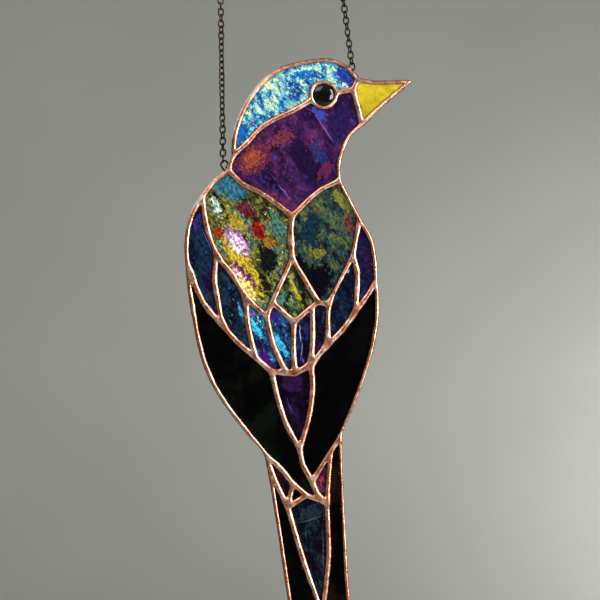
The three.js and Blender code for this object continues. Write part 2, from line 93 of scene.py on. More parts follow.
# ------------------------------------------------------------------ outlines cut from the frame

def cut_loops(node, y):
    """Closed outlines, as arrays of (x, z) in millimetres, where a plane cuts a CAD node. The largest
    comes first."""
    mesh = bmesh.new()
    mesh.from_mesh(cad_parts[node].data)
    bmesh.ops.remove_doubles(mesh, verts=mesh.verts, dist=WELD / 10)
    everything = [*mesh.verts, *mesh.edges, *mesh.faces]
    cut = bmesh.ops.bisect_plane(mesh, geom=everything, plane_co=(0, y * MM, 0), plane_no=(0, 1, 0))
    edges = {e for e in cut["geom_cut"] if isinstance(e, bmesh.types.BMEdge)}
    loops = []
    while edges:
        edge = edges.pop()
        start, vert = edge.verts
        loop = [start]
        while vert is not start:
            loop.append(vert)
            edge = next(e for e in vert.link_edges if e in edges)
            edges.discard(edge)
            vert = edge.other_vert(vert)
        loops.append(from_the_top(np.array([(v.co.x / MM, v.co.z / MM) for v in loop])))
    mesh.free()
    return [without_straights(loop) for loop in sorted(loops, key=area, reverse=True)]


def from_the_top(loop):
    """The outline turned anticlockwise and begun at its highest point, so that each run gives the same."""
    loop = loop if area(loop) > 0 else loop[::-1]
    first = max(range(len(loop)), key=lambda i: (loop[i][1], loop[i][0]))
    return np.roll(loop, -first, axis=0)


def area(loop):
    x, z = loop.T
    return 0.5 * float(np.sum(x * np.roll(z, -1) - np.roll(x, -1) * z))


def turns(loop):
    """How far the outline turns at each point, in radians."""
    before = loop - np.roll(loop, 1, axis=0)
    after = np.roll(loop, -1, axis=0) - loop
    cross = before[:, 0] * after[:, 1] - before[:, 1] * after[:, 0]
    return np.arctan2(cross, np.sum(before * after, axis=1))


def without_straights(loop, least_side=0.02, least_turn=math.radians(0.8)):
    """The outline less the points that the cut left along its straight sides."""
    loop = loop[np.linalg.norm(loop - np.roll(loop, 1, axis=0), axis=1) > least_side]
    return loop[np.abs(turns(loop)) > least_turn]


def smooth_outline(loop, step, corner=math.radians(30), fine=0.1):
    """The outline redrawn as even points on smooth curves, with its real corners kept."""
    count = len(loop)
    sharp = np.abs(turns(loop)) > corner
    points = []
    for i in range(count):
        a, b = loop[i], loop[(i + 1) % count]
        before = a - (b - a) if sharp[i] else loop[i - 1]
        after = b + (b - a) if sharp[(i + 1) % count] else loop[(i + 2) % count]
        length = np.linalg.norm(b - a)
        reach = min(1.0, length / max(np.linalg.norm(a - before), 1e-6))
        reach_after = min(1.0, length / max(np.linalg.norm(after - b), 1e-6))
        leave = (b - a + (a - before) * reach) / 2
        enter = (b - a + (after - b) * reach_after) / 2
        for t in np.arange(0, 1, fine / max(length, fine)):
            points.append(a * (2 * t**3 - 3 * t**2 + 1) + leave * (t**3 - 2 * t**2 + t)
                          + b * (3 * t**2 - 2 * t**3) + enter * (t**3 - t**2))
    return resample(np.array(points), step)


def resample(loop, step):
    """The outline as even points, about a step apart."""
    closed = np.vstack([loop, loop[:1]])
    along = np.concatenate([[0], np.cumsum(np.linalg.norm(np.diff(closed, axis=0), axis=1))])
    count = max(8, int(round(along[-1] / step)))
    at = np.linspace(0, along[-1], count, endpoint=False)
    return np.stack([np.interp(at, along, closed[:, 0]), np.interp(at, along, closed[:, 1])], axis=1)


def soften(loop, rounds):
    for _ in range(rounds):
        loop = loop / 2 + (np.roll(loop, 1, axis=0) + np.roll(loop, -1, axis=0)) / 4
    return loop


def outward(loop):
    """Unit normals to the right of an anticlockwise outline."""
    along = np.roll(loop, -1, axis=0) - np.roll(loop, 1, axis=0)
    along /= np.maximum(np.linalg.norm(along, axis=1, keepdims=True), 1e-9)
    return np.stack([along[:, 1], -along[:, 0]], axis=1)


def inside(points, loop):
    """Which points lie inside the outline."""
    low, high = loop.min(axis=0), loop.max(axis=0)
    found = np.zeros(len(points), bool)
    near = np.nonzero(np.all((points > low) & (points < high), axis=1))[0]
    x, z = points[near].T
    hit = np.zeros(len(near), bool)
    for (ax, az), (bx, bz) in zip(loop, np.roll(loop, -1, axis=0)):
        if az == bz:
            continue
        crosses = (az > z) != (bz > z)
        hit ^= crosses & (x < (bx - ax) * (z - az) / (bz - az) + ax)
    found[near] = hit
    return found


def wander(x, z, scale, seed):
    """Smooth noise over the panel, about -1 to 1. Scale is the size of a swell in millimetres."""
    return noise.noise(Vector((x / scale, seed, z / scale)))


def tree_of(points):
    tree = kdtree.KDTree(len(points))
    for i, (x, z) in enumerate(points):
        tree.insert((x, z, 0), i)
    tree.balance()
    return tree


def distances(points, tree):
    """How far each point is from the nearest one in the tree."""
    return np.array([tree.find((x, z, 0))[2] for x, z in points])


def spread(points, least):
    """The points, less any that come closer than the least distance to one before."""
    taken, kept = {}, []
    for x, z in points:
        column, row = int(x // least), int(z // least)
        near = (q for i in (-1, 0, 1) for j in (-1, 0, 1) for q in taken.get((column + i, row + j), ()))
        if any((x - qx) ** 2 + (z - qz) ** 2 < least * least for qx, qz in near):
            continue
        taken.setdefault((column, row), []).append((x, z))
        kept.append((x, z))
    return kept


def fill(loops, inner_points, holds):
    """Points and triangles over flat loops and the points between them, kept where `holds` says so.
    The loops' own points come first, in order."""
    points = [tuple(p) for loop in loops for p in loop] + [tuple(p) for p in inner_points]
    edges, first = [], 0
    for loop in loops:
        count = len(loop)
        edges += [(first + i, first + (i + 1) % count) for i in range(count)]
        first += count
    verts, _, faces, *_ = delaunay_2d_cdt([Vector(p) for p in points], edges, [], 0, 1e-5)
    flat = np.array([(v.x, v.y) for v in verts])
    faces = np.array([f for f in faces if len(f) == 3])
    return flat, faces[holds(flat[faces].mean(axis=1))]


# ------------------------------------------------------------------ making pieces

def smooth_mesh(name, verts, faces):
    """An object with smooth shading, from points in metres."""
    mesh = bpy.data.meshes.new(name)
    mesh.from_pydata([tuple(v) for v in verts], [], [tuple(int(i) for i in f) for f in faces])
    mesh.validate()
    mesh.update()
    mesh.polygons.foreach_set("use_smooth", [True] * len(mesh.polygons))
    made = bpy.data.objects.new(name, mesh)
    bpy.context.scene.collection.objects.link(made)
    return made


def add_piece(name, verts, faces, stands_for=()):
    """A piece from points in metres. It rides on the root and may stand for CAD nodes."""
    piece = smooth_mesh(name, verts, faces)
    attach(piece, "root")
    if stands_for:
        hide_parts(*stands_for)
    return piece


def outward_faces(piece, weld=False):
    """Turns the faces outwards, once points in one place are made one where `weld` says so."""
    mesh = bmesh.new()
    mesh.from_mesh(piece.data)
    if weld:
        bmesh.ops.remove_doubles(mesh, verts=mesh.verts, dist=WELD)
    bmesh.ops.recalc_face_normals(mesh, faces=mesh.faces)
    mesh.to_mesh(piece.data)
    mesh.free()


def bands(rows, sides):
    """Faces between rows of points, each row a closed ring."""
    faces = []
    for i in range(rows - 1):
        for k in range(sides):
            a, b = i * sides + k, i * sides + (k + 1) % sides
            faces.append((a, b, b + sides, a + sides))
    return faces


def circle(sides):
    """Cosine and sine at even angles round a circle."""
    return [(math.cos(2 * math.pi * k / sides), math.sin(2 * math.pi * k / sides)) for k in range(sides)]


def sweep(points, radius, sides, closed=False):
    """A round tube along a path, in metres, as points and faces."""
    points = [Vector(p) for p in points]
    count = len(points)
    verts = []
    normal = None
    for i, point in enumerate(points):
        ahead = points[(i + 1) % count] if closed or i < count - 1 else point
        behind = points[i - 1] if closed or i > 0 else point
        tangent = (ahead - behind).normalized()
        if normal is None:
            normal = tangent.orthogonal().normalized()
        normal = (normal - tangent * normal.dot(tangent)).normalized()
        side = tangent.cross(normal)
        verts += [point + (normal * c + side * s) * radius for c, s in circle(sides)]
    faces = bands(count, sides)
    if closed:
        last = (count - 1) * sides
        faces += [(last + k, last + (k + 1) % sides, (k + 1) % sides, k) for k in range(sides)]
    else:
        faces.append(tuple(range(sides))[::-1])
        faces.append(tuple((count - 1) * sides + k for k in range(sides)))
    return verts, faces


def joined(parts):
    verts, faces = [], []
    for part_verts, part_faces in parts:
        start = len(verts)
        verts += list(part_verts)
        faces += [tuple(start + i for i in face) for face in part_faces]
    return verts, faces


# ------------------------------------------------------------------ the solder

def solder_edges():
    """The panel's rim, then its windows, as uneven as beads are run and with room for the pools."""
    edges = []
    for number, loop in enumerate(cut_loops("solder_seams", PANEL_Y - (GLASS_HALF + BEAD_FOOT))):
        is_window = number > 0
        fine = soften(smooth_outline(loop, FINE_STEP), 14 if is_window else 6)
        swell = np.array([0.14 * wander(x, z, 7, number) + 0.09 * wander(x, z, 2.2, 9) for x, z in fine])
        if is_window:
            swell -= BEAD_LAP
            for x, z, reach, wider in POOLS:
                swell -= wider * np.exp(-(np.hypot(fine[:, 0] - x, fine[:, 1] - z) / reach) ** 2)
        moved = fine + outward(fine) * swell[:, None]
        # Where a corner is pushed in past itself, its crossed points lie too near the old outline.
        edges.append(moved[distances(moved, tree_of(fine)) > -0.93 * swell])
    return edges


def bead(distance, rise):
    """Rounded rise of a bead, 0 at its edge and 1 at its crest."""
    return np.sqrt(np.clip(1 - (1 - np.clip(distance / rise, 0, 1)) ** 2, 0, 1))


def solder_height(flat, to_rim, to_glass, side):
    """The solder's height over the panel's middle. Side is 0 in front and 1 behind, and only the
    front has nicks."""
    lumps = np.array([0.10 * wander(x, z, 5.5, 20 + side) + 0.07 * wander(x, z, 1.9, 30 + side)
                      for x, z in flat])
    pooled = POOL_SLOPE * np.clip(to_glass - 1.5, 0, 1.5)
    over_glass = (BEAD_CREST - GLASS_HALF) * bead(to_glass, BEAD_RISE) * (1 + lumps) + pooled
    height = np.minimum(GLASS_HALF + over_glass, BEAD_CREST * bead(to_rim, RIM_RISE) * (1 + lumps / 3))
    if side == 0:
        for x, z, size in NICKS:
            near = np.hypot(flat[:, 0] - x, flat[:, 1] - z)
            height -= NICK_DEPTH * np.exp(-(near / size) ** 2) * (height > GLASS_HALF + 0.4)
    return np.minimum(height, BEAD_MOST)


def solder_piece():
    """All the seams as one closed mesh: a bead in front, one behind, and a slot round each pane."""
    edges = solder_edges()
    rim_tree, window_tree = tree_of(edges[0]), tree_of(np.vstack(edges[1:]))
    coarse = [resample(loop, SEAM_STEP) for loop in edges]

    def in_solder(points):
        held = inside(points, coarse[0])
        for loop in coarse[1:]:
            held &= ~inside(points, loop)
        return held

    rows = []
    for depth in SEAM_ROWS:
        for number, loop in enumerate(coarse):
            row = loop + outward(loop) * (depth if number else -depth)
            nearest = np.minimum(distances(row, rim_tree), distances(row, window_tree))
            rows += [(x, z) for x, z in row[nearest > depth - 0.07]]
    rows = spread(rows, SEAM_GAP)
    rows = [p for p, held in zip(rows, in_solder(np.array(rows))) if held]
    flat, faces = fill(coarse, rows, in_solder)

    starts = np.cumsum([0] + [len(loop) for loop in coarse])
    to_rim, to_glass = distances(flat, rim_tree), distances(flat, window_tree)
    to_rim[:starts[1]] = 0
    to_glass[starts[1]:starts[-1]] = 0
    x, z = flat.T
    verts = []
    for side, way in enumerate((-1, 1)):
        y = PANEL_Y + way * solder_height(flat, to_rim, to_glass, side)
        verts += [*np.stack([x, y, z], axis=1)]

    count, rim_count = len(flat), starts[1]
    all_faces = [tuple(f) for f in faces] + [tuple(f[::-1] + count) for f in faces]
    for i in range(rim_count):
        j = (i + 1) % rim_count
        all_faces.append((i, j, j + count, i + count))
    for start, loop in zip(starts[1:], coarse[1:]):
        size = len(loop)
        slot_line = loop + outward(soften(loop, 3)) * SLOT_DEPTH
        first = len(verts)
        for y in (-GLASS_HALF - SLOT_PLAY, GLASS_HALF + SLOT_PLAY):
            verts += [np.array([x, PANEL_Y + y, z]) for x, z in slot_line]
        levels = [start, first, first + size, start + count]
        for i in range(size):
            j = (i + 1) % size
            all_faces += [(a + i, a + j, b + j, b + i) for a, b in zip(levels, levels[1:])]
    piece = add_piece("solder_beads", np.array(verts) * MM, all_faces, ["solder_seams"])
    outward_faces(piece, weld=True)
    return piece


# ------------------------------------------------------------------ the glass

def pane_piece(node, ripple, ripple_size, seed):
    """One pane with a softly rippled face, under the solder's lips all round."""
    edge = soften(smooth_outline(cut_loops(node, PANEL_Y)[0], PANE_STEP), 1)
    tree = tree_of(resample(edge, PANE_FINE_STEP))
    low, high = edge.min(axis=0), edge.max(axis=0)
    grid = [(x, z) for row, z in enumerate(np.arange(low[1], high[1], PANE_STEP * 0.87))
            for x in np.arange(low[0] + (row % 2) * PANE_STEP / 2, high[0], PANE_STEP)
            if tree.find((x, z, 0))[2] > PANE_STEP * 0.6]
    if grid:
        grid = [p for p, held in zip(grid, inside(np.array(grid), edge)) if held]
    flat, faces = fill([edge], grid, lambda points: inside(points, edge))
    count, rim = len(flat), len(edge)
    front_y = PANEL_Y - GLASS_HALF + ripple * 0.8    # set in, so that no swell comes through the solder
    back_y = PANEL_Y + GLASS_HALF - ripple * 0.8

    def swell(x, z, side):
        return ripple * (wander(x, z, ripple_size, seed + side) + 0.4 * wander(x, z, ripple_size / 2.6, seed))

    front = [(x, front_y + swell(x, z, 0), z) for x, z in flat]
    back = [(x, back_y + swell(x, z, 7), z) for x, z in flat]
    all_faces = [tuple(f) for f in faces] + [tuple(f[::-1] + count) for f in faces]
    all_faces += [(i, (i + 1) % rim, (i + 1) % rim + count, i + count) for i in range(rim)]
    piece = add_piece(node.replace("_pane", "_glass"), np.array(front + back) * MM, all_faces, [node])
    outward_faces(piece)
    return piece


def gem_piece():
    """The eye: a domed black gem with a soft shoulder, held in its ring of solder."""
    low, high = (Vector(c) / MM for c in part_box("eye_gem"))
    centre, girdle = (low + high) / 2, (high.x - low.x) / 2
    face = PANEL_Y - GLASS_HALF
    shoulder, step = 0.35, 0.05                  # how far the dome sets in at its foot
    rise = face - low.y - step
    profile = [(0, PANEL_Y + GLASS_HALF), (girdle, PANEL_Y + GLASS_HALF), (girdle, face)]
    steps, sides = 14, 64
    for i in range(steps + 1):
        a = math.pi / 2 * i / steps
        profile.append(((girdle - shoulder) * math.cos(a) ** 0.9, face - step - rise * math.sin(a)))
    verts = [(centre.x + r * c, y, centre.z + r * s) for r, y in profile for c, s in circle(sides)]
    faces = bands(len(profile), sides)
    piece = add_piece("eye_cabochon", np.array(verts) * MM, faces, ["eye_gem"])
    outward_faces(piece, weld=True)
    return piece


# ------------------------------------------------------------------ chains, rings and loops

LINK_WIRE = 0.9 * MM
LINK_WIDTH = 3.8 * MM
LINK_LENGTH = 5.1 * MM
RUNS = {                                         # links, quarter turns of the first, twist midway
    "left": (29, 1, 0.7),
    "right": (14, 0, 0.25),
}
RING_WIRE = 1.5 * MM
LOOP_WIRE = 1.0 * MM
LOOP_BELLY = 0.66                                # how far up a loop is widest, and half its width there
LOOP_HALF = 2.0 * MM
LEG_HALF = 0.58 * MM                             # half the distance between its legs
LOOPS = {                                        # where each loop's wires meet, and where its legs end
    "left": (Vector((3, 0, -107.8)) * MM, Vector((10, 0, -114.5)) * MM),
    "right": (Vector((75.2, 0, -60.2)) * MM, Vector((74.5, 0, -66.5)) * MM),
}
TACKS = ((0.45, 1.5), (0.95, 1.9))               # how far down the legs, and half width in millimetres
TACK_FOOT, TACK_RISE = 0.85 * MM, 1.55 * MM      # a lump's depth inside the bead, and its height from there


def cad_points(node):
    return np.array([v.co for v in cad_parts[node].data.vertices])


def link_path(steps=24):
    """Centre line of an oval link, upright and facing Y."""
    radius = (LINK_WIDTH - LINK_WIRE) / 2
    straight = (LINK_LENGTH - LINK_WIDTH) / 2
    angles = [2 * math.pi * (i + 0.5) / steps for i in range(steps)]
    return [Vector((radius * math.sin(a), 0, radius * math.cos(a) + math.copysign(straight, math.cos(a))))
            for a in angles]


def chain_piece(side):
    """A run of links between the CAD chain's ends, each turned a quarter from the last, as it hangs:
    with a slow twist and every link a little askew."""
    count, quarter, twist = RUNS[side]
    points = cad_points(f"{side}_chain")
    top_z, bottom_z = points[:, 2].max(), points[:, 2].min()
    top = Vector(points[points[:, 2] > top_z - 0.7 * LINK_LENGTH].mean(axis=0))
    bottom = Vector(points[points[:, 2] < bottom_z + 0.7 * LINK_LENGTH].mean(axis=0))
    down = (bottom - top).normalized()
    lean = math.atan2(down.x, -down.z)
    along = Vector((math.sin(lean), 0, -math.cos(lean)))
    reach = LINK_LENGTH / 2 - 0.1 * MM
    first = Vector((top.x, top.y, top_z)) + along * reach
    first.x = top.x + (top.z - first.z) * math.tan(lean)
    pitch = ((top_z - bottom_z) / math.cos(lean) - 2 * reach) / (count - 1)
    parts = []
    for k in range(count):
        turn = (quarter + k) * math.pi / 2 + twist * math.sin(math.pi * k / (count - 1))
        turn += 0.12 * math.sin(k * 2.4)
        tilt = 0.05 * math.sin(k * 1.7)
        place = first + along * pitch * k
        path = []
        for p in link_path():
            x, z = p.x * math.cos(tilt) + p.z * math.sin(tilt), p.z * math.cos(tilt) - p.x * math.sin(tilt)
            q = Vector((x * math.cos(turn), x * math.sin(turn), z))
            path.append(place + Vector((q.x * math.cos(lean) - q.z * math.sin(lean), q.y,
                                        q.z * math.cos(lean) + q.x * math.sin(lean))))
        parts.append(sweep(path, LINK_WIRE / 2, 10, closed=True))
    verts, faces = joined(parts)
    return add_piece(f"{side}_cable_chain", verts, faces, [f"{side}_chain"])


def ring_piece(side):
    """A jump ring with a fine slit where its ends meet."""
    low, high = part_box(f"{side}_hanging_ring")
    centre = middle(f"{side}_hanging_ring")
    size = Vector(high) - Vector(low)
    radius = (size.z - RING_WIRE) / 2
    across = Vector((1, 0, 0)) if size.x > size.y else Vector((0, 1, 0))
    slit, steps = 0.02, 56                       # half the slit, in radians
    path = []
    for i in range(steps + 1):
        a = math.pi / 3 + slit + (2 * math.pi - 2 * slit) * i / steps
        path.append(centre + across * radius * math.cos(a) + Vector((0, 0, radius * math.sin(a))))
    verts, faces = sweep(path, RING_WIRE / 2, 14)
    return add_piece(f"{side}_jump_ring", verts, faces, [f"{side}_hanging_ring"])


def curve_through(points, steps):
    """Points on a smooth curve through the given ones."""
    out = []
    for i in range(len(points) - 1):
        a = points[max(i - 1, 0)]
        b, c = points[i], points[i + 1]
        d = points[min(i + 2, len(points) - 1)]
        for k in range(steps):
            t = k / steps
            out.append(0.5 * (2 * b + (c - a) * t + (2 * a - 5 * b + 4 * c - d) * t * t
                              + (3 * b - a - 3 * c + d) * t ** 3))
    return [*out, points[-1]]


def loop_piece(side):
    """A teardrop of wire, its legs side by side on the back of a seam."""
    throat, leg_end = LOOPS[side]
    points = cad_points(f"{side}_wire_loop")
    top_z = Vector(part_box(f"{side}_wire_loop")[1]).z
    crown = points[points[:, 2] > top_z - 0.3 * MM].mean(axis=0)
    top = Vector((crown[0], throat.y, top_z - LOOP_WIRE / 2))
    upright = top - throat
    across = Vector((upright.z, 0, -upright.x)).normalized()
    leg = (leg_end - throat).normalized()
    leg_across = Vector((-leg.z, 0, leg.x))
    leg_across *= math.copysign(1, leg_across.dot(across))
    belly = throat + upright * LOOP_BELLY
    path = curve_through([
        leg_end + leg_across * LEG_HALF, throat + across * LEG_HALF, belly + across * LOOP_HALF, top,
        belly - across * LOOP_HALF, throat - across * LEG_HALF, leg_end - leg_across * LEG_HALF,
    ], 12)
    verts, faces = sweep(path, LOOP_WIRE / 2, 12)
    return add_piece(f"{side}_hanging_loop", verts, faces, [f"{side}_wire_loop"])


def solder_tacks():
    """Two lumps of solder over each loop's legs, on the back."""
    rows, sides = 10, 20
    parts = []
    for throat, leg_end in LOOPS.values():
        for share, size in TACKS:
            centre = throat.lerp(leg_end, share)
            verts = []
            for i in range(rows + 1):
                a = math.pi / 2 * i / rows
                y = TACK_RISE * math.sin(a) - TACK_FOOT
                for c, s in circle(sides):
                    r = size * MM * math.cos(a) * (1 + 0.12 * noise.noise(Vector((c, s, size * 7))))
                    verts.append(centre + Vector((r * c, y, r * s)))
            parts.append((verts, [*bands(rows + 1, sides), tuple(range(sides))[::-1]]))
    verts, faces = joined(parts)
    piece = add_piece("loop_solder_tacks", verts, faces)
    outward_faces(piece)
    return piece


# ------------------------------------------------------------------ materials

def rgb(red, green, blue):
    """A colour as seen on screen, 0 to 255, as the linear colour that the shader takes."""
    def linear(value):
        value /= 255
        return value / 12.92 if value <= 0.04045 else ((value + 0.055) / 1.055) ** 2.4
    return (linear(red), linear(green), linear(blue), 1)


class Paint:
    """A node material, with short calls for the nodes that it is made of. Lengths are in millimetres."""

    def __init__(self, name):
        self.material = bpy.data.materials.new(name)
        self.material.use_nodes = True
        self.tree = self.material.node_tree
        self.shader = self.tree.nodes["Principled BSDF"]
        geometry = self.node("ShaderNodeNewGeometry")
        self.place = self.vector("SCALE", geometry.outputs["Position"], scale=1 / MM)

    def node(self, kind, **inputs):
        made = self.tree.nodes.new(kind)
        for name, value in inputs.items():
            self.set(made.inputs[name.replace("_", " ")], value)
        return made

    def set(self, socket, value):
        if isinstance(value, bpy.types.NodeSocket):
            self.tree.links.new(value, socket)
        else:
            socket.default_value = value

    def shade(self, **values):
        for name, value in values.items():
            self.set(self.shader.inputs[name.replace("_", " ")], value)

    def vector(self, operation, a, b=None, scale=None):
        made = self.node("ShaderNodeVectorMath")
        made.operation = operation
        self.set(made.inputs[0], a)
        if b is not None:
            self.set(made.inputs[1], b)
        if scale is not None:
            self.set(made.inputs["Scale"], scale)
        return made.outputs["Value" if operation == "LENGTH" else "Vector"]

    def math(self, operation, a, b=0.0):
        made = self.node("ShaderNodeMath")
        made.operation = operation
        self.set(made.inputs[0], a)
        self.set(made.inputs[1], b)
        return made.outputs["Value"]

    def turned(self, where, degrees, stretch):
        """Coordinates drawn out along a slanting line. Degrees are from the horizontal, upwards."""
        made = self.node("ShaderNodeMapping", Vector=where)
        made.vector_type = "TEXTURE"
        made.inputs["Rotation"].default_value = (0, math.radians(-degrees), 0)
        made.inputs["Scale"].default_value = stretch
        return made.outputs["Vector"]

    def noise(self, size, detail=3.0, rough=0.55, where=None, swirl=0.0, seed=0.0):
        where = self.vector("ADD", where or self.place, (seed * 37.0, seed * 11.0, seed * 53.0))
        made = self.node("ShaderNodeTexNoise", Vector=where, Scale=1 / size, Detail=detail,
                         Roughness=rough, Distortion=swirl)
        return made.outputs["Fac"]

    def ramp(self, value, *stops):
        made = self.node("ShaderNodeValToRGB", Fac=value)
        points = made.color_ramp.elements
        while len(points) < len(stops):
            points.new(0.5)
        for point, (at, colour) in zip(points, stops):
            point.position = at
            point.color = colour
        return made.outputs["Color"]

    def between(self, value, low, high, to_low=0.0, to_high=1.0):
        """The value's way from low to high, eased at both ends, as a number from to_low to to_high."""
        made = self.node("ShaderNodeMapRange")
        made.interpolation_type = "SMOOTHSTEP"
        for name, number in (("Value", value), ("From Min", low), ("From Max", high),
                             ("To Min", to_low), ("To Max", to_high)):
            self.set(made.inputs[name], number)
        return made.outputs["Result"]

    def mix(self, share, a, b):
        made = self.tree.nodes.new("ShaderNodeMix")
        made.data_type = "RGBA"
        self.set(made.inputs["Factor"], share)
        self.set(made.inputs["A"], a)
        self.set(made.inputs["B"], b)
        return made.outputs["Result"]

    def bump(self, height, strength, depth):
        made = self.node("ShaderNodeBump", Height=height, Strength=strength, Distance=depth * MM)
        self.shade(Normal=made.outputs["Normal"])


def copper():
    """Solder with a copper patina: rosy on the crests and mottled, with painted shade low on each bead where
    it meets the glass.
    """
    paint = Paint("copper_patina_and_painted_shade")
    tone = paint.noise(5, 5, 0.65)
    colour = paint.ramp(tone, (0.38, rgb(212, 132, 102)), (0.5, rgb(238, 168, 138)),
                        (0.62, rgb(252, 212, 190)))
    speck = paint.noise(1.1, 4, 0.7, seed=3)
    colour = paint.mix(paint.between(speck, 0.56, 0.68, 0, 0.7), colour, rgb(130, 60, 40))
    # Painted shade: low on each bead, towards the glass, the colour is darkened raggedly as if in shadow.
    split = paint.node("ShaderNodeSeparateXYZ", Vector=paint.place)
    height = paint.math("ABSOLUTE", paint.math("SUBTRACT", split.outputs["Y"], PANEL_Y))
    ragged = paint.math("MULTIPLY", paint.noise(1.8, 4, 0.6, seed=6), 0.5)
    foot = paint.between(paint.math("ADD", height, ragged), 1.85, 2.55, 0.9, 0)
    colour = paint.mix(foot, colour, rgb(84, 34, 20))
    paint.shade(Base_Color=colour, Metallic=1.0)
    paint.shade(Roughness=paint.between(paint.noise(3, 4, 0.6, seed=5), 0.38, 0.62, 0.24, 0.42))
    paint.bump(paint.noise(1.0, 5, 0.6, seed=8), 0.5, 0.1)
    return paint.material


def dark_wire():
    """Wire with a black patina, worn a little brown."""
    paint = Paint("dark_patina")
    wear = paint.noise(1.6, 4, 0.65)
    colour = paint.ramp(wear, (0.4, rgb(26, 20, 18)), (0.52, rgb(44, 34, 30)), (0.66, rgb(92, 70, 58)))
    paint.shade(Base_Color=colour, Metallic=0.75)
    paint.shade(Roughness=paint.between(wear, 0.35, 0.65, 0.5, 0.3))
    paint.bump(paint.noise(0.4, 3, 0.6, seed=2), 0.3, 0.03)
    return paint.material


def black_glass(name, drift_and_painted_glow=rgb(5, 6, 6), shine=0.1):
    """Glossy opaque black sheet glass, with a fainter colour drifting through it; on the left wing that
    colour is a painted glow of light.
    """
    paint = Paint(name)
    share = paint.between(paint.noise(20, 3, 0.5, seed=4), 0.46, 0.62)
    paint.shade(Base_Color=paint.mix(share, rgb(1, 1, 1), drift_and_painted_glow), IOR=1.5, Specular_IOR_Level=shine)
    paint.shade(Roughness=paint.between(paint.noise(5, 3, 0.5, seed=6), 0.35, 0.65, 0.03, 0.08))
    paint.bump(paint.noise(9, 2, 0.4, seed=7), 0.25, 0.25)
    return paint.material


FLAT = 1000                                      # half width of a mask through the glass: any depth will do
CROWDING = 0.42                                  # how much likelier a speck is at the middle of its oval
CLUSTER_EDGE = 0.032
PULLED = 1.35                                    # how far specks are drawn out along the oval


def clustered(paint, x, z, across, along, degrees, density, seed, blotch):
    """A mask of ragged specks that crowd together inside a slanting oval and thin out round it.
    At density 1 they join into one patch. Sizes are half widths."""
    centred = paint.vector("SUBTRACT", paint.place, (x, 0, z))
    oval = paint.vector("LENGTH", paint.turned(centred, degrees, (along, FLAT, across)))
    near = paint.between(oval, 0.2, 1.6, 1, 0)
    specks = paint.noise(blotch, 6, 0.7, paint.turned(paint.place, degrees, (PULLED, 1, 1)), seed=20 + seed)
    level = paint.math("ADD", specks, paint.math("MULTIPLY", near, CROWDING))
    edge = 1.0 - 0.31 * density
    return paint.between(level, edge - CLUSTER_EDGE, edge + CLUSTER_EDGE)


def streak(paint, x, z, across, along, degrees):
    """A thin, slightly wavering line in the glass. Sizes are half widths."""
    wobble = paint.node("ShaderNodeTexNoise", Vector=paint.place, Scale=0.3, Detail=3.0).outputs["Color"]
    shift = paint.vector("SCALE", paint.vector("SUBTRACT", wobble, (0.5, 0.5, 0.5)), scale=1.6)
    where = paint.vector("SUBTRACT", paint.vector("ADD", paint.place, shift), (x, 0, z))
    line = paint.vector("LENGTH", paint.turned(where, degrees, (along, FLAT, across)))
    return paint.between(line, 0.3, 1.1, 1, 0)


def art_glass(name, ground, size=7.0, spread=0.12, detail=5, patches=(), flecks=(), lines=(), blotch=2.5,
              contrast=0.55, rough=0.2, bump=0.35, lean=-55):
    """Iridised art glass, drawn out a little along the way the sheet was rolled, which leans by the
    degrees given. Over the ground, a run of colours through mottled noise, lie
    - flecks: colour, amount, size, how far they are drawn out, and strength;
    - patches: x, z, half width across and along, degrees, colour, density, and a size for their specks;
    - lines: x, z, half width across and along, degrees, colour and strength."""
    paint = Paint(name)
    rolled = paint.turned(paint.place, lean, (1.6, 1, 1))
    tone = paint.noise(size, detail, 0.64, rolled, swirl=0.4, seed=1)
    last = len(ground) - 1
    stops = [(0.5 + spread * (2 * i / last - 1), rgb(*colour)) for i, colour in enumerate(ground)]
    colour = paint.ramp(tone, *stops)
    for number, (tint, amount, fleck, drawn, share) in enumerate(flecks):
        spots = paint.noise(fleck, 4, 0.65, paint.turned(paint.place, lean, (drawn, 1, 1)), seed=2 + number)
        edge = 0.7 - amount * 0.3
        colour = paint.mix(paint.between(spots, edge - 0.03, edge + 0.04, 0, share), colour, rgb(*tint))
    for number, (x, z, across, along, degrees, tint, density, *own) in enumerate(patches):
        mask = clustered(paint, x, z, across, along, degrees, density, number, *(own or [blotch]))
        colour = paint.mix(mask, colour, rgb(*tint))
    grain = paint.noise(1.4, 5, 0.72, rolled, seed=9)
    shade = paint.between(grain, 0.4, 0.6, 1 - contrast, 1 + contrast * 0.8)
    colour = paint.vector("SCALE", colour, scale=shade)
    relief = paint.noise(2.2, 5, 0.65, rolled, seed=12)
    for x, z, across, along, degrees, tint, share in lines:
        mask = streak(paint, x, z, across, along, degrees)
        colour = paint.mix(paint.math("MULTIPLY", mask, share), colour, rgb(*tint))
        relief = paint.math("ADD", relief, paint.math("MULTIPLY", mask, 1.4))
    paint.shade(Base_Color=colour, IOR=1.52, Specular_IOR_Level=0.1)
    paint.shade(Coat_Weight=0.1, Coat_Roughness=0.08, Coat_IOR=1.3, Thin_Film_Thickness=420.0)
    paint.shade(Roughness=paint.between(grain, 0.4, 0.6, rough * 0.7, rough * 1.3))
    paint.bump(relief, bump, 0.22)
    return paint.material


def dress(piece, material):
    piece.data.materials.append(material)


